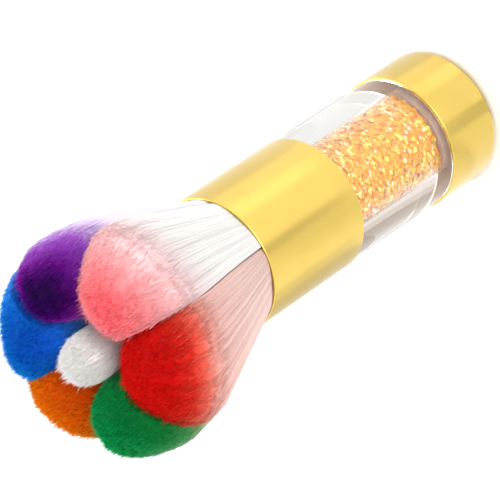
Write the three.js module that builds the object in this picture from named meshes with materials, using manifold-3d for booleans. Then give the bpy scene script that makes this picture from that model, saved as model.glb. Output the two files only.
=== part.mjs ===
import * as THREE from 'three';
import { mergeVertices } from 'three/addons/utils/BufferGeometryUtils.js';
import Module from 'manifold-3d';

// Acrylic nail brush, standing on the flat end of its cap: +Z runs along the
// axis to the tips of the bristles, and sizes are in millimetres.

const wasm = await Module();
wasm.setup();

// Lengths along the axis
const CAP_LENGTH = 12.2;
const CLEAR_LENGTH = 24.2; // tube left bare between the cap and the ferrule
const FERRULE_LENGTH = 23.1;
const TUBE_IN_CAP = 10.2;
const TUBE_IN_FERRULE = 10;
const PETAL_SHOULDER = 24.7; // height above the mouth at which a petal starts to round over
const PETAL_DOME = 10;
const PETAL_TILT = 1.4; // how much lower than its middle a petal's outer edge is
const CENTRE_SHOULDER = 31;
const CENTRE_DOME = 5.5;

// Handle, across the axis
const TUBE_RADIUS = 11.5;
const BORE_RADIUS = 7.8;
const SLEEVE_PROUD = 0.3; // how far the cap and the ferrule stand out from the tube
const SLEEVE_WALL = 0.45;
const GLUE_THICKNESS = 0.15;
const CAP_EDGE_RADIUS = 1.6;
const LIP_RADIUS = 0.2; // rounding of the sleeves' open rims
const TUBE_CHAMFER = 0.4;

// Stoppers that close the bore
const FLANGE_THICKNESS = 0.9;
const FRONT_STOPPER_LENGTH = 8;

// Root of the head, inside the ferrule
const EPOXY_THICKNESS = 5.6;
const ROOT_DEPTH = 4; // length of each tuft that is sunk in the epoxy
const WAIST_LENGTH = 2.4; // tied part of a tuft, above the epoxy
const TIE_HEIGHT = 1;
const TIE_THICKNESS = 0.35;

// Tufts, across the axis
const PETAL_SIDES = 24;
const PETAL_SQUARENESS = 2.4; // exponent of the superellipse: 2 is an ellipse
const PETAL_FLARE = 0.3; // how much wider the outer half of a petal is
const CENTRE_WAIST_RADIUS = 2.7;
const CENTRE_MOUTH_RADIUS = 2.9;
const CENTRE_BLOOM_RADIUS = 4.6;
const WAIST_HALF_WIDTH = 3.8;
const MOUTH_HALF_WIDTH = 4.6;
const BLOOM_HALF_WIDTH = 9.1;
const BLOOM_SPREAD = 8.5; // how far a petal spreads past the ferrule's bore

// Clearances
const FIT_GAP = 0.05; // between glued or pushed-in pieces
const POCKET_GAP = 0.3; // between a tuft's root and its pocket in the epoxy
const PETAL_GAP = 0.3; // between neighbouring petals
const WAIST_GAP = 1.1; // between neighbouring waists, where the ties go
const WAIST_TO_CENTRE = 1; // between a petal's waist and the centre tuft's
const WAIST_TO_BORE = 0.95; // between a petal's waist and the ferrule
const MOUTH_GAP = 0.4; // between a petal and the centre tuft
const MOUTH_TO_BORE = 0.25; // between a petal and the ferrule
const GLITTER_GAP = 0.15; // round the glitter and at its ends

const SEGMENTS = 64;
const ARC_STEPS = 5;
const DOME_STEPS = 5;

// Worked out from the sizes above
const CAP_RIM = CAP_LENGTH;
const FERRULE_REAR = CAP_RIM + CLEAR_LENGTH;
const MOUTH_HEIGHT = FERRULE_REAR + FERRULE_LENGTH;
const TUBE_REAR = CAP_RIM - TUBE_IN_CAP;
const TUBE_FRONT = FERRULE_REAR + TUBE_IN_FERRULE;
const SLEEVE_RADIUS = TUBE_RADIUS + SLEEVE_PROUD;
const SLEEVE_BORE = SLEEVE_RADIUS - SLEEVE_WALL;
const GLUE_OUTER = SLEEVE_BORE - FIT_GAP;
const GLUE_INNER = GLUE_OUTER - GLUE_THICKNESS;
const SPIGOT_RADIUS = GLUE_INNER - FIT_GAP;
const STEM_RADIUS = BORE_RADIUS - FIT_GAP;
const FLANGE_RADIUS = SPIGOT_RADIUS - FIT_GAP;
const EPOXY_BOTTOM = TUBE_FRONT + FLANGE_THICKNESS + 2 * FIT_GAP;
const EPOXY_TOP = EPOXY_BOTTOM + EPOXY_THICKNESS;
const ROOT_BOTTOM = EPOXY_TOP - ROOT_DEPTH;
const WAIST_TOP = EPOXY_TOP + WAIST_LENGTH;

// A petal's reach across the axis at three heights
const WAIST = {
  inner: CENTRE_WAIST_RADIUS + WAIST_TO_CENTRE,
  outer: SLEEVE_BORE - WAIST_TO_BORE,
  halfWidth: WAIST_HALF_WIDTH,
};
const MOUTH = {
  inner: CENTRE_MOUTH_RADIUS + MOUTH_GAP,
  outer: SLEEVE_BORE - MOUTH_TO_BORE,
  halfWidth: MOUTH_HALF_WIDTH,
};
const BLOOM = {
  inner: CENTRE_BLOOM_RADIUS + MOUTH_GAP,
  outer: SLEEVE_BORE + BLOOM_SPREAD,
  halfWidth: BLOOM_HALF_WIDTH,
};

// Petals in turn round the axis, in degrees: azimuth is the petal's own and
// wall is where it meets the next one.
const PETALS = [
  { name: 'purple', colour: 0x6a1b9a, azimuth: 2, wall: 36 },
  { name: 'blue', colour: 0x1552c4, azimuth: 64, wall: 94 },
  { name: 'orange', colour: 0xd95f02, azimuth: 117, wall: 147 },
  { name: 'green', colour: 0x16803a, azimuth: 181, wall: 208 },
  { name: 'red', colour: 0xdd1c1c, azimuth: 239, wall: 272 },
  { name: 'pink', colour: 0xff6b78, azimuth: 299, wall: 330 },
];

const brush = new THREE.Group();

function add(name, geometry, colour, roughness, metalness, turn = 0) {
  const material = new THREE.MeshStandardMaterial({ color: colour, roughness, metalness });
  const mesh = new THREE.Mesh(geometry, material);
  mesh.name = name;
  mesh.rotation.z = turn;
  brush.add(mesh);
}

// Solid of revolution about Z, from [radius, height] points
function turned(profile) {
  const points = profile.map(([radius, height]) => new THREE.Vector2(radius, height));
  return new THREE.LatheGeometry(points, SEGMENTS).rotateX(Math.PI / 2);
}

// Quarter circle, or any arc, as [radius, height] points
function arc(centreRadius, centreHeight, size, from, to) {
  const points = [];
  for (let step = 0; step <= ARC_STEPS; step++) {
    const angle = from + ((to - from) * step) / ARC_STEPS;
    points.push([centreRadius + size * Math.cos(angle), centreHeight + size * Math.sin(angle)]);
  }
  return points;
}

function toSolid(geometry) {
  const bare = geometry.clone();
  bare.deleteAttribute('normal');
  bare.deleteAttribute('uv');
  const merged = mergeVertices(bare, 1e-4);
  return new wasm.Manifold(new wasm.Mesh({
    numProp: 3,
    vertProperties: new Float32Array(merged.attributes.position.array),
    triVerts: new Uint32Array(merged.index.array),
  }));
}

function toGeometry(solid) {
  const mesh = solid.getMesh();
  const geometry = new THREE.BufferGeometry();
  geometry.setAttribute('position', new THREE.BufferAttribute(mesh.vertProperties, 3));
  geometry.setIndex(new THREE.BufferAttribute(mesh.triVerts, 1));
  geometry.computeVertexNormals();
  return geometry;
}

// Handle

function endCap() {
  const inside = CAP_EDGE_RADIUS - SLEEVE_WALL;
  const edge = SLEEVE_RADIUS - CAP_EDGE_RADIUS;
  const lip = CAP_LENGTH - LIP_RADIUS;
  return turned([
    [0, 0],
    ...arc(edge, CAP_EDGE_RADIUS, CAP_EDGE_RADIUS, -Math.PI / 2, 0),
    ...arc(SLEEVE_RADIUS - LIP_RADIUS, lip, LIP_RADIUS, 0, Math.PI / 2),
    [SLEEVE_BORE, CAP_LENGTH],
    ...arc(edge, CAP_EDGE_RADIUS, inside, 0, -Math.PI / 2),
    [0, SLEEVE_WALL],
  ]);
}

function ferrule() {
  const rear = FERRULE_REAR;
  const front = MOUTH_HEIGHT;
  const edge = SLEEVE_RADIUS - LIP_RADIUS;
  return turned([
    [SLEEVE_BORE, rear],
    ...arc(edge, rear + LIP_RADIUS, LIP_RADIUS, -Math.PI / 2, 0),
    ...arc(edge, front - LIP_RADIUS, LIP_RADIUS, 0, Math.PI / 2),
    [SLEEVE_BORE, front],
    [SLEEVE_BORE, rear],
  ]);
}

// Clear tube: each end is turned down to a spigot that fits its sleeve
function handleTube() {
  const rearShoulder = CAP_RIM + FIT_GAP;
  const frontShoulder = FERRULE_REAR - FIT_GAP;
  return turned([
    [BORE_RADIUS, TUBE_REAR],
    [SPIGOT_RADIUS - TUBE_CHAMFER, TUBE_REAR],
    [SPIGOT_RADIUS, TUBE_REAR + TUBE_CHAMFER],
    [SPIGOT_RADIUS, rearShoulder],
    [TUBE_RADIUS, rearShoulder],
    [TUBE_RADIUS, frontShoulder],
    [SPIGOT_RADIUS, frontShoulder],
    [SPIGOT_RADIUS, TUBE_FRONT - TUBE_CHAMFER],
    [SPIGOT_RADIUS - TUBE_CHAMFER, TUBE_FRONT],
    [BORE_RADIUS, TUBE_FRONT],
    [BORE_RADIUS, TUBE_REAR],
  ]);
}

function glueRing(bottom, top) {
  return turned([
    [GLUE_INNER, bottom],
    [GLUE_OUTER, bottom],
    [GLUE_OUTER, top],
    [GLUE_INNER, top],
    [GLUE_INNER, bottom],
  ]);
}

// Stopper: a stem in the bore and a flange against the tube's end.
// inward is 1 when the stem points to +Z from that end, and -1 otherwise.
function stopper(tubeEnd, stemLength, inward) {
  const seat = tubeEnd - inward * FIT_GAP;
  const back = seat - inward * FLANGE_THICKNESS;
  const profile = [
    [0, back],
    [FLANGE_RADIUS, back],
    [FLANGE_RADIUS, seat],
    [STEM_RADIUS, seat],
    [STEM_RADIUS, tubeEnd + inward * stemLength],
    [0, tubeEnd + inward * stemLength],
  ];
  return turned(inward > 0 ? profile : profile.reverse());
}

function glitterFill() {
  const radius = BORE_RADIUS - GLITTER_GAP;
  const bottom = CAP_RIM + GLITTER_GAP;
  const top = TUBE_FRONT - FRONT_STOPPER_LENGTH - GLITTER_GAP;
  return turned([[0, bottom], [radius, bottom], [radius, top], [0, top]]);
}

// Head

function roundedPower(value) {
  return Math.sign(value) * Math.abs(value) ** (2 / PETAL_SQUARENESS);
}

// How far to its side a petal may go at a distance x along its azimuth before
// it reaches the wall at that angle, when half the gap is left free
function roomBeside(x, wall, halfGap) {
  return x * Math.tan(wall) - halfGap / Math.cos(wall);
}

// The angles from a petal's azimuth to its two walls, both counted positive
function wallAngles(petal) {
  const before = PETALS[(PETALS.indexOf(petal) + PETALS.length - 1) % PETALS.length];
  const turnFrom = (start, end) => THREE.MathUtils.euclideanModulo(end - start, 360);
  return {
    left: THREE.MathUtils.degToRad(turnFrom(petal.azimuth, petal.wall)),
    right: THREE.MathUtils.degToRad(turnFrom(before.wall, petal.azimuth)),
  };
}

// Outline of a petal across the axis, as [x, y] points with x along its
// azimuth: a superellipse that widens outwards and stops at the walls. grow
// pushes it outwards, and shrink draws it in to its centre.
function petalOutline(petal, size, gap, grow = 0, shrink = 1) {
  const { left, right } = wallAngles(petal);
  const centre = (size.inner + size.outer) / 2;
  const halfDepth = (size.outer - size.inner) / 2 + grow;
  const outline = [];
  for (let side = 0; side < PETAL_SIDES; side++) {
    const angle = (2 * Math.PI * side) / PETAL_SIDES;
    const along = roundedPower(Math.cos(angle)) * shrink;
    const across = roundedPower(Math.sin(angle)) * shrink;
    const x = centre + halfDepth * along;
    const y = (size.halfWidth + grow) * (1 + PETAL_FLARE * along) * across;
    const halfGap = gap / 2 - grow;
    outline.push([
      x,
      THREE.MathUtils.clamp(y, -roomBeside(x, right, halfGap), roomBeside(x, left, halfGap)),
    ]);
  }
  return outline;
}

function circleOutline(radius) {
  const outline = [];
  for (let side = 0; side < PETAL_SIDES; side++) {
    const angle = (2 * Math.PI * side) / PETAL_SIDES;
    outline.push([radius * Math.cos(angle), radius * Math.sin(angle)]);
  }
  return outline;
}

// Closed skin over a stack of rings of [x, y, z] points, closed by a point at
// each end
function loft(rings, bottomPoint, topPoint) {
  const sides = rings[0].length;
  const positions = rings.flat(2);
  const index = [];
  const bottom = positions.length / 3;
  positions.push(...bottomPoint, ...topPoint);
  const top = bottom + 1;
  const last = (rings.length - 1) * sides;
  for (let side = 0; side < sides; side++) {
    const next = (side + 1) % sides;
    index.push(bottom, next, side);
    index.push(top, last + side, last + next);
    for (let ring = 0; ring < rings.length - 1; ring++) {
      const low = ring * sides;
      const high = low + sides;
      index.push(low + side, low + next, high + next);
      index.push(low + side, high + next, high + side);
    }
  }
  const geometry = new THREE.BufferGeometry();
  geometry.setAttribute('position', new THREE.Float32BufferAttribute(positions, 3));
  geometry.setIndex(index);
  geometry.computeVertexNormals();
  return geometry;
}

// Tuft: root and waist of one section, spread to the mouth, then to the full
// bloom, and closed by a dome. bloomAt gives the bloom's outline drawn in to
// some part of its size, and tilt lowers the side furthest from the axis.
function tuft(waist, mouth, bloomAt, shape) {
  const { centre, halfDepth, shoulder, dome, tilt } = shape;
  const flat = (outline, height) => outline.map(([x, y]) => [x, y, height]);
  const rings = [flat(waist, ROOT_BOTTOM), flat(waist, WAIST_TOP), flat(mouth, MOUTH_HEIGHT)];
  for (let step = 0; step < DOME_STEPS; step++) {
    const angle = (step / DOME_STEPS) * (Math.PI / 2);
    const height = MOUTH_HEIGHT + shoulder + dome * Math.sin(angle);
    const outline = bloomAt(Math.cos(angle));
    rings.push(outline.map(([x, y]) => [x, y, height - (tilt * (x - centre)) / halfDepth]));
  }
  const rootCentre = waist.reduce((sum, [x]) => sum + x, 0) / waist.length;
  return loft(rings, [rootCentre, 0, ROOT_BOTTOM], [centre, 0, MOUTH_HEIGHT + shoulder + dome]);
}

function petalTuft(petal) {
  return tuft(
    petalOutline(petal, WAIST, WAIST_GAP),
    petalOutline(petal, MOUTH, PETAL_GAP),
    (shrink) => petalOutline(petal, BLOOM, PETAL_GAP, 0, shrink),
    {
      centre: (BLOOM.inner + BLOOM.outer) / 2,
      halfDepth: (BLOOM.outer - BLOOM.inner) / 2,
      shoulder: PETAL_SHOULDER,
      dome: PETAL_DOME,
      tilt: PETAL_TILT,
    },
  );
}

function centreTuft() {
  return tuft(
    circleOutline(CENTRE_WAIST_RADIUS),
    circleOutline(CENTRE_MOUTH_RADIUS),
    (shrink) => circleOutline(CENTRE_BLOOM_RADIUS * shrink),
    {
      centre: 0,
      halfDepth: CENTRE_BLOOM_RADIUS,
      shoulder: CENTRE_SHOULDER,
      dome: CENTRE_DOME,
      tilt: 0,
    },
  );
}

function toPath(outline) {
  return outline.map(([x, y]) => new THREE.Vector2(x, y));
}

function prism(outline, bottom, height) {
  const shape = new THREE.Shape(toPath(outline));
  const geometry = new THREE.ExtrudeGeometry(shape, { depth: height, bevelEnabled: false });
  return geometry.translate(0, 0, bottom);
}

// Thread binding round a tuft's waist, just above the epoxy
function tie(outer, inner) {
  const shape = new THREE.Shape(toPath(outer));
  shape.holes.push(new THREE.Path(toPath(inner).reverse()));
  const geometry = new THREE.ExtrudeGeometry(shape, { depth: TIE_HEIGHT, bevelEnabled: false });
  return geometry.translate(0, 0, EPOXY_TOP + POCKET_GAP);
}

function petalTie(petal) {
  return tie(
    petalOutline(petal, WAIST, WAIST_GAP, FIT_GAP + TIE_THICKNESS),
    petalOutline(petal, WAIST, WAIST_GAP, FIT_GAP),
  );
}

function centreTie() {
  return tie(
    circleOutline(CENTRE_WAIST_RADIUS + FIT_GAP + TIE_THICKNESS),
    circleOutline(CENTRE_WAIST_RADIUS + FIT_GAP),
  );
}

// Epoxy plug that holds the seven roots, with a pocket for each
function epoxyPlug() {
  const radius = SLEEVE_BORE - FIT_GAP;
  const disc = turned([
    [0, EPOXY_BOTTOM],
    [radius, EPOXY_BOTTOM],
    [radius, EPOXY_TOP],
    [0, EPOXY_TOP],
  ]);
  const floor = ROOT_BOTTOM - POCKET_GAP;
  const depth = 2 * (EPOXY_TOP - floor);
  let plug = toSolid(disc).subtract(
    toSolid(prism(circleOutline(CENTRE_WAIST_RADIUS + POCKET_GAP), floor, depth)),
  );
  for (const petal of PETALS) {
    const pocket = prism(petalOutline(petal, WAIST, WAIST_GAP, POCKET_GAP), floor, depth);
    plug = plug.subtract(toSolid(pocket.rotateZ(THREE.MathUtils.degToRad(petal.azimuth))));
  }
  return toGeometry(plug);
}

add('end_cap', endCap(), 0xe0a92e, 0.22, 1);
add('cap_glue_ring', glueRing(TUBE_REAR, CAP_RIM - FIT_GAP), 0x8a6f60, 0.6, 0);
add('rear_stopper', stopper(TUBE_REAR, TUBE_IN_CAP, 1), 0x8f7466, 0.6, 0);
add('handle_tube', handleTube(), 0xf4f8fa, 0.04, 0);
add('glitter_fill', glitterFill(), 0xff9d2e, 0.35, 0.3);
add('front_stopper', stopper(TUBE_FRONT, FRONT_STOPPER_LENGTH, -1), 0x8f7466, 0.6, 0);
add('ferrule_glue_ring', glueRing(FERRULE_REAR + FIT_GAP, TUBE_FRONT), 0x8a6f60, 0.6, 0);
add('ferrule', ferrule(), 0xe0a92e, 0.22, 1);
add('epoxy_plug', epoxyPlug(), 0xd9cfae, 0.4, 0);
for (const petal of PETALS) {
  const turn = THREE.MathUtils.degToRad(petal.azimuth);
  add(`${petal.name}_tuft`, petalTuft(petal), petal.colour, 0.7, 0, turn);
  add(`${petal.name}_tie`, petalTie(petal), 0xeeeae0, 0.8, 0, turn);
}
add('white_tuft', centreTuft(), 0xe4e1dc, 0.7, 0);
add('white_tie', centreTie(), 0xeeeae0, 0.8, 0);

export default brush;
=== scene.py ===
import math

import bpy
import numpy as np
from mathutils import Matrix, Vector

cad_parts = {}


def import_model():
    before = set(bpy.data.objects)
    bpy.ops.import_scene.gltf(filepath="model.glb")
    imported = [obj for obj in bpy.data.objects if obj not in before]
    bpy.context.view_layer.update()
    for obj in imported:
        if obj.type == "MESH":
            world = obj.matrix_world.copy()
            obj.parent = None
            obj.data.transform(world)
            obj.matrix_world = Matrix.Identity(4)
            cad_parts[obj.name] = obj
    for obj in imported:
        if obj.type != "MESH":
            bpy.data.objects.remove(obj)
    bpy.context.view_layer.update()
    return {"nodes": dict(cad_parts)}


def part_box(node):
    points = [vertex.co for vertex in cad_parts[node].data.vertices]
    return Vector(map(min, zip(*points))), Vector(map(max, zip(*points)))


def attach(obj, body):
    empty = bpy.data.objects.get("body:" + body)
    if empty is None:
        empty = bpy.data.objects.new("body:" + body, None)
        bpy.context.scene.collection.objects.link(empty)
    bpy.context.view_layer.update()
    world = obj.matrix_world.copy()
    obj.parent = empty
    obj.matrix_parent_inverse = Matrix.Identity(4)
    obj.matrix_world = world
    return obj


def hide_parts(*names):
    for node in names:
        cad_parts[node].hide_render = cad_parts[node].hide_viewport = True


# Acrylic nail brush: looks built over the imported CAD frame, in metres.

MM = 0.001

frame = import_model()


# ---------------------------------------------------------------- sizes

def low_z(node):
    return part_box(node)[0][2]


def high_z(node):
    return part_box(node)[1][2]


def radius_of(node):
    low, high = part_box(node)
    return (high[0] - low[0]) / 2


SLEEVE_RADIUS = radius_of("end_cap")
SLEEVE_WALL = 0.45 * MM
SLEEVE_BORE = SLEEVE_RADIUS - SLEEVE_WALL
SLEEVE_PROUD = 0.3 * MM
CAP_EDGE_RADIUS = 1.6 * MM
LIP_RADIUS = 0.2 * MM
GLUE_ROOM = 0.25 * MM
AIR_GAP = 0.15 * MM
FIT_GAP = 0.05 * MM
GLITTER_RADIUS = radius_of("glitter_fill")
BORE_RADIUS = GLITTER_RADIUS + AIR_GAP
TUBE_RADIUS = SLEEVE_RADIUS - SLEEVE_PROUD
SPIGOT_RADIUS = SLEEVE_BORE - GLUE_ROOM
TUBE_CHAMFER = 0.4 * MM

CAP_BASE = low_z("end_cap")
CAP_RIM = high_z("end_cap")
FERRULE_REAR = low_z("ferrule")
MOUTH = high_z("ferrule")
TUBE_REAR = low_z("handle_tube")
TUBE_FRONT = high_z("handle_tube")
WAIST_LENGTH = 2.4 * MM
WAIST = high_z("epoxy_plug") + WAIST_LENGTH - MOUTH
HEAD_TOP = high_z("white_tuft")

LATHE_SEGMENTS = 192
ARC_STEPS = 8
ON_AXIS = 1e-9
CREASE = math.radians(35)


# ---------------------------------------------------------------- meshes

def mesh_object(name, vertices, faces, smooth=True):
    mesh = bpy.data.meshes.new(name)
    mesh.from_pydata([tuple(vertex) for vertex in vertices], [], faces)
    mesh.polygons.foreach_set("use_smooth", [smooth] * len(mesh.polygons))
    mesh.update()
    obj = bpy.data.objects.new(name, mesh)
    bpy.context.scene.collection.objects.link(obj)
    return obj


def arc(centre_radius, centre_height, size, start, end):
    """Points on a circle, as (radius, height); start and end are in degrees."""
    points = []
    for step in range(ARC_STEPS + 1):
        angle = math.radians(start + (end - start) * step / ARC_STEPS)
        points.append((centre_radius + size * math.cos(angle), centre_height + size * math.sin(angle)))
    return points


def turned(name, profile, closed):
    """Solid of revolution about Z. If it isn't closed, its profile starts and ends on the axis."""
    vertices = []
    rings = []
    for radius, height in profile:
        if radius < ON_AXIS:
            rings.append([len(vertices)] * LATHE_SEGMENTS)
            vertices.append((0, 0, height))
            continue
        rings.append(list(range(len(vertices), len(vertices) + LATHE_SEGMENTS)))
        for segment in range(LATHE_SEGMENTS):
            angle = 2 * math.pi * segment / LATHE_SEGMENTS
            vertices.append((radius * math.cos(angle), radius * math.sin(angle), height))
    pairs = list(zip(rings, rings[1:]))
    if closed:
        pairs.append((rings[-1], rings[0]))
    faces = []
    for lower, upper in pairs:
        for segment in range(LATHE_SEGMENTS):
            following = (segment + 1) % LATHE_SEGMENTS
            corners = [lower[segment], lower[following], upper[following], upper[segment]]
            faces.append(list(dict.fromkeys(corners)))
    obj = mesh_object(name, vertices, faces)
    obj.data.set_sharp_from_angle(angle=CREASE)
    return obj


def band_triangles(low, high):
    """Triangles of the bands between rings of vertex numbers. The last axis goes round a ring."""
    low_next = np.roll(low, -1, axis=-1)
    high_next = np.roll(high, -1, axis=-1)
    return [
        np.stack([low, low_next, high_next], axis=-1).reshape(-1, 3),
        np.stack([low, high_next, high], axis=-1).reshape(-1, 3),
    ]


def fast_mesh(name, vertices, triangles, uvs, flat=0):
    """Mesh object from numpy arrays, with a uv for each vertex. That many of the last triangles are flat."""
    smooth = np.arange(len(triangles)) < len(triangles) - flat
    mesh = bpy.data.meshes.new(name)
    mesh.vertices.add(len(vertices))
    mesh.vertices.foreach_set("co", vertices.astype(np.float32).ravel())
    mesh.loops.add(triangles.size)
    mesh.loops.foreach_set("vertex_index", triangles.astype(np.int32).ravel())
    mesh.polygons.add(len(triangles))
    mesh.polygons.foreach_set("loop_start", np.arange(0, triangles.size, 3, dtype=np.int32))
    mesh.polygons.foreach_set("use_smooth", smooth)
    layer = mesh.uv_layers.new(name="OFBake")
    layer.data.foreach_set("uv", uvs[triangles.ravel()].astype(np.float32).ravel())
    mesh.update()
    mesh.validate()
    obj = bpy.data.objects.new(name, mesh)
    bpy.context.scene.collection.objects.link(obj)
    return obj


def place(obj, nodes, material):
    """Sets the finish of a new piece, puts it under the root body and hides the CAD nodes that it stands for.
    """
    obj.data.materials.clear()
    obj.data.materials.append(material)
    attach(obj, "root")
    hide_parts(*nodes)


# ---------------------------------------------------------------- materials

class Shader:
    """A material and the few node links that every material here needs."""

    def __init__(self, name):
        self.material = bpy.data.materials.new(name)
        self.material.use_nodes = True
        self.nodes = self.material.node_tree.nodes
        self.link = self.material.node_tree.links.new
        self.surface = self.nodes["Principled BSDF"]

    def set(self, **values):
        for name, value in values.items():
            self.surface.inputs[name.replace("_", " ")].default_value = value

    def node(self, kind, **values):
        node = self.nodes.new(kind)
        for name, value in values.items():
            node.inputs[name.replace("_", " ")].default_value = value
        return node

    def place_on(self, texture, stretch):
        """Feeds the texture object coordinates, in metres, multiplied by stretch on each axis."""
        coordinates = self.node("ShaderNodeTexCoord")
        mapping = self.node("ShaderNodeMapping", Scale=stretch)
        self.link(coordinates.outputs["Object"], mapping.inputs["Vector"])
        self.link(mapping.outputs["Vector"], texture.inputs["Vector"])

    def noise(self, stretch, detail=3.0):
        texture = self.node("ShaderNodeTexNoise", Scale=1.0, Detail=detail)
        self.place_on(texture, stretch)
        return texture.outputs["Fac"]

    def ramp(self, factor, stops):
        """Colour ramp from (position, colour) stops."""
        ramp = self.node("ShaderNodeValToRGB")
        elements = ramp.color_ramp.elements
        for element, (position, colour) in zip(elements, (stops[0], stops[-1])):
            element.position = position
            element.color = (*colour, 1)
        for position, colour in stops[1:-1]:
            elements.new(position).color = (*colour, 1)
        self.link(factor, ramp.inputs["Fac"])
        return ramp.outputs["Color"]

    def span(self, factor, low, high):
        """factor, stretched from its middle half to low..high."""
        span = self.node("ShaderNodeMapRange")
        span.inputs["From Min"].default_value = 0.25
        span.inputs["From Max"].default_value = 0.75
        span.inputs["To Min"].default_value = low
        span.inputs["To Max"].default_value = high
        self.link(factor, span.inputs["Value"])
        return span.outputs["Result"]

    def bump(self, height, depth):
        """Bump of that real depth, in metres."""
        bump = self.node("ShaderNodeBump", Strength=1.0, Distance=depth)
        self.link(height, bump.inputs["Height"])
        self.link(bump.outputs["Normal"], self.surface.inputs["Normal"])

    def to(self, output, name):
        self.link(output, self.surface.inputs[name])


DRAWN_DEPTH = 0.0006 * MM
MOTTLE_DEPTH = 0.01 * MM
MOTTLE_SPREAD = 0.08
THREAD_DEPTH = 0.05 * MM


def gold():
    """Polished gold anodised sleeve, with faint lines from drawing along its axis."""
    shader = Shader("gold")
    shader.set(Metallic=1.0)
    drawn = shader.noise((9000, 9000, 60), detail=4)
    cloudy = shader.noise((160, 160, 160))
    shader.to(shader.ramp(cloudy, [(0.3, (0.59, 0.42, 0.098)), (0.7, (0.62, 0.445, 0.108))]), "Base Color")
    shader.to(shader.span(drawn, 0.2, 0.28), "Roughness")
    shader.bump(drawn, DRAWN_DEPTH)
    return shader.material


def acrylic():
    """Clear cast acrylic with faint smudges."""
    shader = Shader("acrylic")
    shader.set(Transmission_Weight=1.0, IOR=1.49, Base_Color=(0.98, 0.975, 0.97, 1))
    smudges = shader.noise((420, 420, 260), detail=5)
    shader.to(shader.span(smudges, 0.0, 0.03), "Roughness")
    return shader.material


def speckled(name, dark, light, grain, roughness):
    """Moulded or poured material with a fine uneven tone. grain is the size of its mottling in metres."""
    shader = Shader(name)
    per_metre = 1 / grain
    mottle = shader.noise((per_metre, per_metre, per_metre), detail=5)
    shader.to(shader.ramp(mottle, [(0.3, dark), (0.7, light)]), "Base Color")
    shader.to(shader.span(mottle, roughness - MOTTLE_SPREAD, roughness + MOTTLE_SPREAD), "Roughness")
    shader.bump(mottle, MOTTLE_DEPTH)
    return shader.material


def thread():
    """Wound sewing thread."""
    shader = Shader("thread")
    wave = shader.node("ShaderNodeTexWave", Scale=1.0, Distortion=1.0)
    wave.bands_direction = "Z"
    shader.place_on(wave, (300, 300, 1100))
    turns = wave.outputs["Fac"]
    shader.to(shader.ramp(turns, [(0.2, (0.55, 0.52, 0.46)), (0.8, (0.9, 0.88, 0.82))]), "Base Color")
    shader.set(Roughness=0.8)
    shader.bump(turns, THREAD_DEPTH)
    return shader.material


# ---------------------------------------------------------------- handle

GLUE_LAP = 0.01 * MM
GLUE_UNDER_TUBE = 0.04 * MM


def end_cap(finish):
    inside = CAP_EDGE_RADIUS - SLEEVE_WALL
    edge = SLEEVE_RADIUS - CAP_EDGE_RADIUS
    lip = SLEEVE_RADIUS - LIP_RADIUS
    profile = [(0, CAP_BASE)]
    profile += arc(edge, CAP_BASE + CAP_EDGE_RADIUS, CAP_EDGE_RADIUS, -90, 0)
    profile += arc(lip, CAP_RIM - LIP_RADIUS, LIP_RADIUS, 0, 90)
    profile += [(SLEEVE_BORE, CAP_RIM)]
    profile += arc(edge, CAP_BASE + CAP_EDGE_RADIUS, inside, 0, -90)
    profile += [(0, CAP_BASE + SLEEVE_WALL)]
    place(turned("gold_end_cap", profile, closed=False), ["end_cap"], finish)


def ferrule(finish):
    lip = SLEEVE_RADIUS - LIP_RADIUS
    profile = [(SLEEVE_BORE, FERRULE_REAR)]
    profile += arc(lip, FERRULE_REAR + LIP_RADIUS, LIP_RADIUS, -90, 0)
    profile += arc(lip, MOUTH - LIP_RADIUS, LIP_RADIUS, 0, 90)
    profile += [(SLEEVE_BORE, MOUTH)]
    place(turned("gold_ferrule", profile, closed=True), ["ferrule"], finish)


def handle_tube(finish):
    rear = CAP_RIM + FIT_GAP
    front = FERRULE_REAR - FIT_GAP
    tip = SPIGOT_RADIUS - TUBE_CHAMFER
    profile = [
        (BORE_RADIUS, TUBE_REAR),
        (tip, TUBE_REAR),
        (SPIGOT_RADIUS, TUBE_REAR + TUBE_CHAMFER),
        (SPIGOT_RADIUS, rear),
        (TUBE_RADIUS, rear),
        (TUBE_RADIUS, front),
        (SPIGOT_RADIUS, front),
        (SPIGOT_RADIUS, TUBE_FRONT - TUBE_CHAMFER),
        (tip, TUBE_FRONT),
        (BORE_RADIUS, TUBE_FRONT),
    ]
    place(turned("clear_tube", profile, closed=True), ["handle_tube"], finish)


def glue_film(finish):
    """Adhesive wetted onto the tube's rear end. It laps the acrylic, so no air gap shows through the wall."""
    inside = BORE_RADIUS + FIT_GAP
    outside = SLEEVE_BORE - FIT_GAP
    against_tube = SPIGOT_RADIUS - GLUE_LAP
    bottom = TUBE_REAR - GLUE_UNDER_TUBE
    top = CAP_RIM - FIT_GAP
    profile = [
        (inside, bottom),
        (outside - TUBE_CHAMFER, bottom),
        (outside, TUBE_REAR + TUBE_CHAMFER),
        (outside, top),
        (against_tube, top),
        (against_tube, TUBE_REAR + TUBE_CHAMFER + GLUE_LAP),
        (against_tube - TUBE_CHAMFER, TUBE_REAR + GLUE_LAP),
        (inside, TUBE_REAR + GLUE_LAP),
    ]
    place(turned("cap_glue_film", profile, closed=True), ["cap_glue_ring"], finish)


# ---------------------------------------------------------------- glitter

GLITTER_BOTTOM = low_z("glitter_fill")
GLITTER_TOP = high_z("glitter_fill")
DEEP_ROWS = 60
DEEP_COLUMNS = 120
DEEP_END_GAP = 0.2 * MM
DEEP_MARGIN = (0.3 * MM, 0.6 * MM)
DEEP_SEED = 3
FLAKE_COUNT = 5200
FLAKE_SIDES = 6
FLAKE_SIZE = (0.2 * MM, 0.42 * MM)
FLAKE_TILT = 0.2
FLAKE_MARGIN = 0.06 * MM
FLAKE_LAYER = 0.15 * MM
FOIL_SPREAD = 0.15


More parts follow.
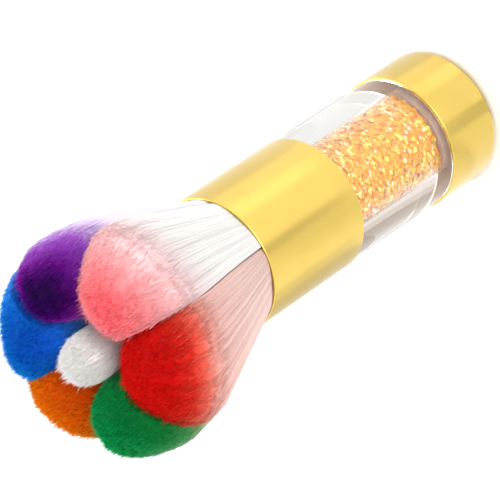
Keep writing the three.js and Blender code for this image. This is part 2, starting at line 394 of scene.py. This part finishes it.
def glitter_finish(name, colour, other, roughness, metallic):
    """Foil flake, each one a little different in tone."""
    shader = Shader(name)
    shader.set(Metallic=metallic, Specular_IOR_Level=0.15)
    tone = shader.noise((900, 900, 900), detail=1)
    shader.to(shader.ramp(tone, [(0.35, colour), (0.65, other)]), "Base Color")
    shader.to(shader.span(tone, roughness, roughness + FOIL_SPREAD), "Roughness")
    return shader.material


def glitter_core():
    """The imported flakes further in, as one faceted orange column."""
    bottom = GLITTER_BOTTOM + DEEP_END_GAP
    top = GLITTER_TOP - DEEP_END_GAP
    rng = np.random.default_rng(DEEP_SEED)
    vertices = []
    for row in range(DEEP_ROWS + 1):
        height = bottom + (top - bottom) * row / DEEP_ROWS
        for column in range(DEEP_COLUMNS):
            angle = 2 * math.pi * (column + 0.5 * (row % 2)) / DEEP_COLUMNS
            radius = GLITTER_RADIUS - rng.uniform(*DEEP_MARGIN)
            vertices.append((radius * math.cos(angle), radius * math.sin(angle), height))
    faces = []
    for row in range(DEEP_ROWS):
        for column in range(DEEP_COLUMNS):
            following = (column + 1) % DEEP_COLUMNS
            low = row * DEEP_COLUMNS
            high = low + DEEP_COLUMNS
            faces.append((low + column, low + following, high + following, high + column))
    faces.append(tuple(reversed(range(DEEP_COLUMNS))))
    faces.append(tuple(DEEP_ROWS * DEEP_COLUMNS + column for column in range(DEEP_COLUMNS)))
    orange = (1.0, 0.36, 0.005)
    amber = (1.0, 0.5, 0.02)
    finish = glitter_finish("glitter_deep", orange, amber, roughness=0.35, metallic=0.0)
    place(mesh_object("glitter_core", vertices, faces, smooth=False), ["glitter_fill"], finish)


def glitter_flakes(name, share, finish, seed):
    """Hexagonal flakes lying against the bore at random angles."""
    rng = np.random.default_rng(seed)
    vertices = []
    faces = []
    for _ in range(int(FLAKE_COUNT * share)):
        size = rng.uniform(*FLAKE_SIZE)
        angle = rng.uniform(0, 2 * math.pi)
        tilt = rng.normal(0, FLAKE_TILT)
        turn = rng.uniform(0, 2 * math.pi)
        reach = GLITTER_RADIUS - abs(math.sin(tilt)) * size - FLAKE_MARGIN
        radius = reach - rng.uniform(0, FLAKE_LAYER)
        height = rng.uniform(GLITTER_BOTTOM + size, GLITTER_TOP - size)
        hinge = Vector((0, math.cos(turn), math.sin(turn)))
        outward = Matrix.Rotation(angle, 3, "Z") @ Matrix.Rotation(tilt, 3, hinge)
        centre = Vector((radius * math.cos(angle), radius * math.sin(angle), height))
        first = len(vertices)
        for side in range(FLAKE_SIDES):
            around = turn + 2 * math.pi * side / FLAKE_SIDES
            corner = Vector((0, size * math.cos(around), size * math.sin(around)))
            vertices.append(centre + outward @ corner)
        faces.append(tuple(range(first, first + FLAKE_SIDES)))
    place(mesh_object(name, vertices, faces, smooth=False), ["glitter_fill"], finish)


# Name, share of all flakes, two tones, and how metallic they are
FLAKES = [
    ("flakes_orange", 0.44, (1.0, 0.34, 0.004), (1.0, 0.46, 0.01), 0.0),
    ("flakes_amber", 0.3, (1.0, 0.5, 0.02), (1.0, 0.62, 0.05), 0.0),
    ("flakes_yellow", 0.2, (1.0, 0.88, 0.08), (1.0, 0.99, 0.3), 0.2),
    ("flakes_pale", 0.06, (1.0, 0.7, 0.45), (1.0, 0.85, 0.66), 0.2),
]
FLAKE_ROUGHNESS = 0.18


def glitter():
    glitter_core()
    for seed, (name, share, colour, other, metallic) in enumerate(FLAKES):
        finish = glitter_finish(name, colour, other, FLAKE_ROUGHNESS, metallic)
        glitter_flakes(name, share, finish, seed)


# ---------------------------------------------------------------- tufts

SQUARENESS = 2.4
PETAL_FLARE = 0.3
WALL_GAP = 0.1 * MM
DOME_TILT = 1.4 * MM

SKIN_STRANDS = 6400
SKIN_EDGE = 0.95
TIP_STRANDS = 15000
TIP_EDGE = 0.97
TIP_LENGTH = 3.2 * MM
TIP_SCATTER = 0.5 * MM
CENTRE_SHARE = 0.4
TRIES = 20

STRAND_RADIUS = 0.048 * MM
STRAND_SIDES = 3
STRAND_END = 0.15
TAPER_LENGTH = 0.9 * MM
SWAY = 0.05 * MM
STRAY_SHARE = 0.06
STRAY_LENGTH = 1.3 * MM
STRAY_SWAY = 6.0
DYE_STREAK = 0.025
STRAND_U = 0.02

CORE_SIDES = 96
CORE_SIDE_LEVELS = 16
CORE_DOME_LEVELS = 20
CORE_POINT = 1e-3
CORE_SIZE = 0.98
CORE_INSET = 0.06 * MM
CORE_SINK = 0.25 * MM

# Petal sizes at some heights above the mouth: nearest to and furthest from the axis, and half the width
PETAL_HEIGHTS = np.array([WAIST, 0, 12 * MM, 21 * MM, 27 * MM, 35 * MM])
PETAL_INNER = np.array([3.7, 3.3, 4.2, 4.8, 5.0, 5.0]) * MM
PETAL_OUTER = np.array([10.4, 11.2, 15.8, 19.0, 19.8, 19.6]) * MM
PETAL_HALF_WIDTH = np.array([4.6, 5.6, 7.2, 8.7, 9.1, 9.1]) * MM
PETAL_SHOULDER = 24.7 * MM
PETAL_DOME = 10 * MM

CENTRE_HEIGHTS = np.array([WAIST, 0, 20 * MM, 31 * MM, 36 * MM])
CENTRE_RADIUS = np.array([2.7, 2.9, 3.8, 4.2, 4.2]) * MM
CENTRE_LEAN = -0.7 * MM
CENTRE_SHOULDER = 31 * MM
CENTRE_DOME = HEAD_TOP - MOUTH - CENTRE_SHOULDER


class Petal:
    """One outer tuft. Across the axis it is a superellipse, cut off where it meets its neighbours."""

    def __init__(self, name, azimuth, start, end, reach, spread, rise):
        self.name = name
        self.azimuth = math.radians(azimuth)
        self.left = math.radians(end - azimuth)
        self.right = math.radians(azimuth - start)
        self.reach = reach * MM
        self.spread = spread * MM
        self.shoulder = PETAL_SHOULDER + rise * MM
        self.dome = PETAL_DOME
        self.tilt = DOME_TILT
        self.bends = PETAL_HEIGHTS[PETAL_HEIGHTS < PETAL_SHOULDER]

    def section(self, along, across, height, inset):
        """Distance along the petal's azimuth, distance to its side, and the room on both sides."""
        bloomed = np.clip(height / self.shoulder, 0, 1)
        inner = np.interp(height, PETAL_HEIGHTS, PETAL_INNER)
        outer = np.interp(height, PETAL_HEIGHTS, PETAL_OUTER) + self.reach * bloomed
        half_width = np.interp(height, PETAL_HEIGHTS, PETAL_HALF_WIDTH) + self.spread * bloomed
        x = (inner + outer) / 2 + (outer - inner) / 2 * along
        y = half_width * (1 + PETAL_FLARE * along) * across
        left = x * math.tan(self.left) - (WALL_GAP / 2 + inset) / math.cos(self.left)
        right = x * math.tan(self.right) - (WALL_GAP / 2 + inset) / math.cos(self.right)
        return x, y, left, right

    def place(self, along, across, height, inset=0.0):
        """Row-frame place of the unit-disc point (along, across) at a height above the mouth."""
        x, y, left, right = self.section(along, across, height, inset)
        y = np.clip(y, -right, left)
        return np.stack([
            x * math.cos(self.azimuth) - y * math.sin(self.azimuth),
            x * math.sin(self.azimuth) + y * math.cos(self.azimuth),
            MOUTH + height,
        ], axis=-1)

    def edge(self, along, across):
        """How near the side a unit-disc point is in full bloom. 1 is on it, and more is past a wall."""
        x, y, left, right = self.section(along, across, self.shoulder, 0.0)
        return np.maximum(superellipse_size(along, across), np.maximum(y / left, -y / right))


class Centre:
    """The middle tuft, which is round."""

    def __init__(self, name):
        self.name = name
        self.shoulder = CENTRE_SHOULDER
        self.dome = CENTRE_DOME
        self.tilt = 0
        self.bends = CENTRE_HEIGHTS[CENTRE_HEIGHTS < CENTRE_SHOULDER]

    def place(self, along, across, height, inset=0.0):
        radius = np.interp(height, CENTRE_HEIGHTS, CENTRE_RADIUS) - inset
        rounder = superellipse_size(along, across) / np.maximum(ON_AXIS, np.hypot(along, across))
        lean = CENTRE_LEAN * np.clip(height / self.shoulder, 0, 1)
        return np.stack([radius * along * rounder + lean, radius * across * rounder, MOUTH + height], axis=-1)

    def edge(self, along, across):
        return superellipse_size(along, across)


def superellipse(angle):
    """Point on the edge of the unit superellipse, as (along, across)."""
    power = 2 / SQUARENESS
    along = np.sign(np.cos(angle)) * np.abs(np.cos(angle)) ** power
    across = np.sign(np.sin(angle)) * np.abs(np.sin(angle)) ** power
    return along, across


def superellipse_size(along, across):
    """Size of the superellipse through a unit-disc point."""
    return (np.abs(along) ** SQUARENESS + np.abs(across) ** SQUARENESS) ** (1 / SQUARENESS)


def dome_height(tuft, along, across):
    """Height above the mouth at which the tuft's dome is, over a unit-disc point."""
    size = np.minimum(1, superellipse_size(along, across))
    return tuft.shoulder + tuft.dome * np.sqrt(1 - size ** 2) - tuft.tilt * along


def dyed(tuft, height):
    """How far up the dye a height above the mouth is: 0 at the mouth and 1 at the top of the dome."""
    return height / (tuft.shoulder + tuft.dome)


def strand_roots(tuft, rng, count, nearest, furthest):
    """Unit-disc points of filaments, evenly spread over the part of the tuft between those edge values."""
    tries = count * TRIES
    size = np.sqrt(rng.random(tries))
    along, across = superellipse(rng.uniform(0, 2 * math.pi, tries))
    along = along * size
    across = across * size
    edge = tuft.edge(along, across)
    chosen = np.flatnonzero((edge >= nearest) & (edge <= furthest))[:count]
    return along[chosen], across[chosen]


def strand_paths(tuft, rng, count, nearest=0.0, furthest=1.0, length=None):
    """Paths of filaments that end on the dome, as (count, points, 3), and how far up the dye each point is.
    Without a length they start at the waist and bend where the tuft does."""
    along, across = strand_roots(tuft, rng, count, nearest, furthest)
    count = len(along)
    tip = dome_height(tuft, along, across) + rng.normal(0, TIP_SCATTER, count)
    stray = rng.random(count) < STRAY_SHARE
    tip = tip + stray * rng.uniform(0, STRAY_LENGTH, count)
    taper = (tip - TAPER_LENGTH)[:, None]
    shank = np.minimum(tuft.bends, taper) if length is None else (tip - length)[:, None]
    height = np.concatenate([shank, taper, tip[:, None]], axis=1)
    points = height.shape[1]
    places = tuft.place(along[:, None], across[:, None], height)
    sway = rng.normal(0, SWAY, (count, 1, 2)) * np.where(stray, STRAY_SWAY, 1.0)[:, None, None]
    places[:, :, :2] += sway * (np.linspace(0, 1, points) ** 3)[None, :, None]
    streak = rng.normal(0, DYE_STREAK, count)
    return places, dyed(tuft, height) + streak[:, None]


def strand_mesh(name, places, dye, rng):
    """Tapering three-sided filaments. The OFBake map holds a number for each filament, and the dye."""
    count, points, _ = places.shape
    corner = 2 * math.pi * np.arange(STRAND_SIDES) / STRAND_SIDES
    around = rng.uniform(0, 2 * math.pi, count)[:, None] + corner
    ring = np.stack([np.cos(around), np.sin(around), np.zeros_like(around)], axis=-1) * STRAND_RADIUS
    taper = np.ones(points)
    taper[-1] = STRAND_END
    vertices = places[:, :, None, :] + ring[:, None, :, :] * taper[None, :, None, None]
    index = np.arange(count * points * STRAND_SIDES).reshape(count, points, STRAND_SIDES)
    ends = index[:, -1].reshape(-1, 3)
    triangles = np.concatenate([*band_triangles(index[:, :-1], index[:, 1:]), ends])
    steps = STRAND_U * (np.arange(STRAND_SIDES) / STRAND_SIDES)
    u = rng.uniform(0, 1 - STRAND_U, count)[:, None, None] + steps
    u = np.broadcast_to(u, (count, points, STRAND_SIDES))
    v = np.broadcast_to(np.clip(dye, 0, 1)[:, :, None], (count, points, STRAND_SIDES))
    uvs = np.stack([u, v], axis=-1).reshape(-1, 2)
    return fast_mesh(name, vertices.reshape(-1, 3), triangles, uvs, flat=count)


def tuft_core(tuft):
    """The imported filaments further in, as a skin just inside the tuft, with a flat bottom at the waist."""
    along, across = superellipse(np.linspace(0, 2 * math.pi, CORE_SIDES, endpoint=False))
    rim = dome_height(tuft, along * CORE_SIZE, across * CORE_SIZE) - CORE_SINK
    levels = [(CORE_POINT, np.full(CORE_SIDES, WAIST))]
    for part in np.linspace(0, 1, CORE_SIDE_LEVELS):
        levels.append((CORE_SIZE, WAIST + (rim - WAIST) * part))
    lifts = np.linspace(0, math.pi / 2 - CORE_POINT, CORE_DOME_LEVELS)[1:]
    for size in CORE_SIZE * np.cos(lifts):
        levels.append((size, dome_height(tuft, along * size, across * size) - CORE_SINK))
    rings = [tuft.place(along * size, across * size, height, CORE_INSET) for size, height in levels]
    dyes = [dyed(tuft, height) for _, height in levels]
    index = np.arange(len(levels) * CORE_SIDES).reshape(len(levels), CORE_SIDES)
    triangles = np.concatenate(band_triangles(index[:-1], index[1:]))
    u = np.tile(np.linspace(0, 1 - STRAND_U, CORE_SIDES), len(levels))
    uvs = np.stack([u, np.clip(np.concatenate(dyes), 0, 1)], axis=-1)
    return fast_mesh(f"{tuft.name}_core", np.concatenate(rings), triangles, uvs)


# Light that reaches the filaments, as a share of what makes a white surface look just white
LIGHT_LEVEL = 1.15
GAMMA = 2.2
TONE_STEP = 0.004
SHADE_RANGE = (0.82, 1.08)
SUBSURFACE_DEPTH = 0.4 * MM


def screen(red, green, blue):
    """Colour as a screen shows it, 0 to 255, as the linear colour a surface needs in this light."""
    return tuple(((part / 255) ** GAMMA) / LIGHT_LEVEL for part in (red, green, blue))


def fibre(name, dye):
    """Dyed nylon filaments, with dye along their length and a tone that differs a little between them."""
    shader = Shader(name)
    uv = shader.node("ShaderNodeUVMap")
    uv.uv_map = "OFBake"
    parts = shader.node("ShaderNodeSeparateXYZ")
    shader.link(uv.outputs["UV"], parts.inputs["Vector"])
    colour = shader.ramp(parts.outputs["Y"], [(position, screen(*tint)) for position, tint in dye])
    tone = shader.node("ShaderNodeTexWhiteNoise")
    tone.noise_dimensions = "1D"
    steps = shader.node("ShaderNodeMath")
    steps.operation = "SNAP"
    steps.inputs[1].default_value = TONE_STEP
    shader.link(parts.outputs["X"], steps.inputs[0])
    shader.link(steps.outputs["Value"], tone.inputs["W"])
    shade = shader.node("ShaderNodeHueSaturation")
    shader.link(colour, shade.inputs["Color"])
    shader.link(shader.span(tone.outputs["Value"], *SHADE_RANGE), shade.inputs["Value"])
    shader.to(shade.outputs["Color"], "Base Color")
    shader.set(Roughness=0.5, Specular_IOR_Level=0.05)
    shader.set(Subsurface_Weight=0.3, Subsurface_Radius=(1, 1, 1), Subsurface_Scale=SUBSURFACE_DEPTH)
    return shader.material


# Name, azimuth and the two walls in degrees, then how much further out, wider and higher than the rest it
# blooms, in mm
PETALS = [
    ("purple", 2, -30, 36, -1.1, -0.4, 0.25),
    ("blue", 64, 36, 94, -0.5, -0.1, 1.0),
    ("orange", 117, 94, 147, -0.2, -1.2, 0.2),
    ("green", 181, 147, 208, 0.4, 0.0, 0.15),
    ("red", 239, 208, 272, 0.7, 1.4, -1.05),
    ("pink", 299, 272, 330, 0.0, 0.5, -0.6),
]

# Screen colours along the filaments, from the mouth (0) to the top of the dome (1)
DYES = {
    "purple": [(0.0, (246, 236, 250)), (0.6, (242, 225, 248)), (0.68, (215, 190, 232)),
               (0.75, (200, 165, 220)), (0.8, (141, 65, 176)), (0.86, (118, 42, 156)), (0.92, (80, 8, 112)),
               (0.96, (42, 1, 68)), (1.0, (22, 0, 40))],
    "blue": [(0.0, (246, 246, 250)), (0.55, (215, 230, 252)), (0.68, (130, 185, 248)), (0.78, (58, 132, 235)),
             (0.87, (26, 100, 220)), (0.95, (12, 72, 192)), (1.0, (5, 50, 170))],
    "orange": [(0.0, (248, 244, 238)), (0.55, (250, 222, 188)), (0.68, (230, 132, 45)), (0.78, (218, 74, 2)),
               (1.0, (208, 58, 0))],
    "green": [(0.0, (246, 244, 238)), (0.55, (215, 226, 198)), (0.64, (170, 195, 140)),
              (0.72, (120, 170, 100)), (0.8, (50, 126, 62)), (0.88, (16, 104, 40)), (1.0, (3, 94, 38))],
    "red": [(0.0, (222, 188, 180)), (0.35, (230, 194, 185)), (0.64, (226, 177, 168)), (0.73, (220, 146, 133)),
            (0.79, (203, 84, 68)), (0.85, (190, 37, 27)), (0.92, (184, 15, 13)), (1.0, (190, 11, 9))],
    "pink": [(0.0, (240, 238, 235)), (0.4, (240, 237, 234)), (0.55, (232, 226, 223)), (0.64, (232, 214, 213)),
             (0.74, (232, 191, 192)), (0.8, (228, 175, 176)), (0.9, (232, 143, 146)), (1.0, (238, 66, 78))],
    "white": [(0.0, (222, 220, 217)), (1.0, (220, 218, 215))],
}


def build_tuft(tuft, seed, share=1.0):
    """A tuft is a core, filaments along its sides and filaments over its dome."""
    rng = np.random.default_rng(seed)
    finish = fibre(f"{tuft.name}_fibre", DYES[tuft.name])
    sides = strand_paths(tuft, rng, int(SKIN_STRANDS * share), nearest=SKIN_EDGE)
    tips = strand_paths(tuft, rng, int(TIP_STRANDS * share), furthest=TIP_EDGE, length=TIP_LENGTH)
    pieces = [
        tuft_core(tuft),
        strand_mesh(f"{tuft.name}_side_bristles", *sides, rng),
        strand_mesh(f"{tuft.name}_tip_bristles", *tips, rng),
    ]
    for piece in pieces:
        place(piece, [f"{tuft.name}_tuft"], finish)


def head():
    for seed, petal in enumerate(PETALS):
        build_tuft(Petal(*petal), seed)
    build_tuft(Centre("white"), len(PETALS), CENTRE_SHARE)


# ---------------------------------------------------------------- hidden parts

def finish_node(name, material):
    """Sets the finish of a CAD node that stays as it is."""
    slots = frame["nodes"][name].data.materials
    slots.clear()
    slots.append(material)


def hidden_parts():
    glue = speckled("glue", (0.9, 0.6, 0.4), (0.98, 0.7, 0.48), grain=0.8 * MM, roughness=0.45)
    glue_film(glue)
    stopper = speckled("stopper", (0.6, 0.42, 0.33), (0.7, 0.52, 0.42), grain=0.6 * MM, roughness=0.5)
    epoxy = speckled("epoxy", (0.62, 0.55, 0.38), (0.72, 0.66, 0.5), grain=1.5 * MM, roughness=0.35)
    finish_node("ferrule_glue_ring", glue)
    finish_node("rear_stopper", stopper)
    finish_node("front_stopper", stopper)
    finish_node("epoxy_plug", epoxy)
    binding = thread()
    for name in [petal[0] for petal in PETALS] + ["white"]:
        finish_node(f"{name}_tie", binding)


# ---------------------------------------------------------------- studio

CAMERA_AIM = Vector((-0.85, -0.15, 51.75)) * MM
CAMERA_DISTANCE = 0.795
CAMERA_AZIMUTH = -80.6
CAMERA_ELEVATION = 41.35
CAMERA_ROLL = 124.1
CAMERA_LENS = 360
SENSOR_WIDTH = 36

# Name, azimuth and elevation in degrees, size in metres and power in watts
LIGHTS = [
    ("key", 60, 48, 0.6, 12),
    ("fill", -80, 25, 0.8, 10),
]
LIGHT_TARGET = Vector((0, 0, 50)) * MM
LIGHT_DISTANCE = 1.2
WORLD_STRENGTH = 1.6
FLOOR_HALF = 1.5
CARD_LIFT = 0.2 * MM

# Heights on the handle that a reflection covers, in mm
ON_CAP = (0.5, 14)
ON_TUBE = (16, 32)
ON_FERRULE = (34, 120)

# Two parts of the sleeves' half width, the heights between them, and how bright the reflection is
REFLECTORS = [
    (-0.99, -0.74, ON_CAP, 1.25),
    (-0.54, -0.34, ON_CAP, 1.85),
    (-0.34, 0.14, ON_CAP, 1.55),
    (0.14, 0.34, ON_CAP, 1.1),
    (0.34, 0.98, ON_CAP, 1.48),
    (-0.99, 0.99, ON_TUBE, 0.25),
    (-0.99, -0.74, ON_FERRULE, 1.35),
    (-0.54, -0.34, ON_FERRULE, 2.1),
    (0.13, 0.25, ON_FERRULE, 1.0),
    (0.25, 0.34, ON_FERRULE, 1.35),
    (0.72, 0.82, ON_FERRULE, 1.3),
    (0.82, 0.99, ON_FERRULE, 1.0),
]

# Two azimuths in degrees, and the glowing colour between them: painted shade and painted reflection that the
# tube's clear wall shows
FLAGS = [
    (10, 55, (0.86, 0.86, 0.83)),
    (55, 103, (0.84, 0.84, 0.8)),
    (103, 163, (0.42, 0.33, 0.25)),
    (163, 176, (0.7, 0.6, 0.52)),
    (176, 190, (0.9, 0.8, 0.74)),
]
FLAG_REACH = (12.5 * MM, 62 * MM)


def towards(azimuth, elevation):
    """Unit vector that points out at these angles, in degrees."""
    flat = math.cos(math.radians(elevation))
    return Vector((
        flat * math.cos(math.radians(azimuth)),
        flat * math.sin(math.radians(azimuth)),
        math.sin(math.radians(elevation)),
    ))


def facing(position, target, roll=0.0):
    """World matrix of a camera or light at position that looks at target."""
    back = (position - target).normalized()
    right = Vector((0, 0, 1)).cross(back).normalized()
    up = back.cross(right)
    turn = math.radians(roll)
    turned_right = right * math.cos(turn) - up * math.sin(turn)
    turned_up = up * math.cos(turn) + right * math.sin(turn)
    rotation = Matrix((turned_right, turned_up, back)).transposed()
    return Matrix.Translation(position) @ rotation.to_4x4()


def add_camera():
    data = bpy.data.cameras.new("camera")
    data.lens = CAMERA_LENS
    data.sensor_width = SENSOR_WIDTH
    data.clip_start = 0.01
    data.clip_end = 10
    camera = bpy.data.objects.new("camera", data)
    position = CAMERA_AIM + towards(CAMERA_AZIMUTH, CAMERA_ELEVATION) * CAMERA_DISTANCE
    camera.matrix_world = facing(position, CAMERA_AIM, CAMERA_ROLL)
    bpy.context.scene.collection.objects.link(camera)
    bpy.context.scene.camera = camera


def area_light(name, azimuth, elevation, size, power):
    data = bpy.data.lights.new(name, "AREA")
    data.shape = "DISK"
    data.size = size
    data.energy = power
    light = bpy.data.objects.new(name, data)
    position = LIGHT_TARGET + towards(azimuth, elevation) * LIGHT_DISTANCE
    light.matrix_world = facing(position, LIGHT_TARGET)
    bpy.context.scene.collection.objects.link(light)


def floor():
    corners = [(-1, -1), (1, -1), (1, 1), (-1, 1)]
    obj = mesh_object("floor", [(x * FLOOR_HALF, y * FLOOR_HALF, 0) for x, y in corners], [(0, 1, 2, 3)])
    shader = Shader("floor")
    grain = shader.noise((700, 700, 700))
    shader.to(shader.ramp(grain, [(0.3, (0.7, 0.7, 0.7)), (0.7, (0.72, 0.72, 0.72))]), "Base Color")
    shader.set(Roughness=0.9, Specular_IOR_Level=0.1)
    obj.data.materials.append(shader.material)


def world():
    sky = bpy.data.worlds.new("studio")
    sky.use_nodes = True
    background = sky.node_tree.nodes["Background"]
    background.inputs["Color"].default_value = (1, 1, 1, 1)
    background.inputs["Strength"].default_value = WORLD_STRENGTH
    bpy.context.scene.world = sky
    bpy.context.scene.view_settings.view_transform = "Standard"


def seen_across(across):
    """Azimuth of the sleeves' surface at that part of their half width, as the camera sees them."""
    return math.radians(CAMERA_AZIMUTH) - math.asin(across)


def card(name, corners, colour, strength):
    """Glowing card on the floor, which no kind of ray sees until the caller says which one does."""
    obj = mesh_object(name, [(x, y, CARD_LIFT) for x, y in corners], [(0, 1, 2, 3)])
    shader = Shader(name)
    shader.set(Base_Color=(0, 0, 0, 1), Specular_IOR_Level=0.0, Roughness=1.0)
    shader.set(Emission_Color=(*colour, 1), Emission_Strength=strength)
    obj.data.materials.append(shader.material)
    obj.visible_camera = False
    obj.visible_diffuse = False
    obj.visible_glossy = False
    obj.visible_transmission = False
    obj.visible_shadow = False
    return obj


def reflector(name, first, last, reach, strength):
    """Card that only shows in reflections, between two parts of the sleeves' half width, over that reach of
    heights. What they reflect at a height lies that far off, over the tangent of the camera's elevation."""
    away = [height * MM / math.tan(math.radians(CAMERA_ELEVATION)) for height in reach]
    corners = []
    for azimuth, distances in ((seen_across(first), away), (seen_across(last), away[::-1])):
        mirrored = 2 * azimuth - math.radians(CAMERA_AZIMUTH)
        for distance in distances:
            corners.append((
                SLEEVE_RADIUS * math.cos(azimuth) + distance * math.cos(mirrored),
                SLEEVE_RADIUS * math.sin(azimuth) + distance * math.sin(mirrored),
            ))
    card(name, corners, (1, 1, 1), strength).visible_glossy = True


def flag(name, first, last, colour):
    """Glowing card of painted shade and painted reflection that only shows through the tube's clear wall,
    between two azimuths in degrees.
    """
    corners = []
    for azimuth, distances in ((first, FLAG_REACH), (last, FLAG_REACH[::-1])):
        for distance in distances:
            corners.append((
                distance * math.cos(math.radians(azimuth)),
                distance * math.sin(math.radians(azimuth)),
            ))
    card(name, corners, colour, 1.0).visible_transmission = True


def studio():
    add_camera()
    floor()
    world()
    for light in LIGHTS:
        area_light(*light)
    for number, reflection in enumerate(REFLECTORS):
        reflector(f"reflector_{number}", *reflection)
    for number, shade in enumerate(FLAGS):
        flag(f"flag_{number}", *shade)


studio()
gold_finish = gold()
end_cap(gold_finish)
ferrule(gold_finish)
handle_tube(acrylic())
glitter()
head()
hidden_parts()
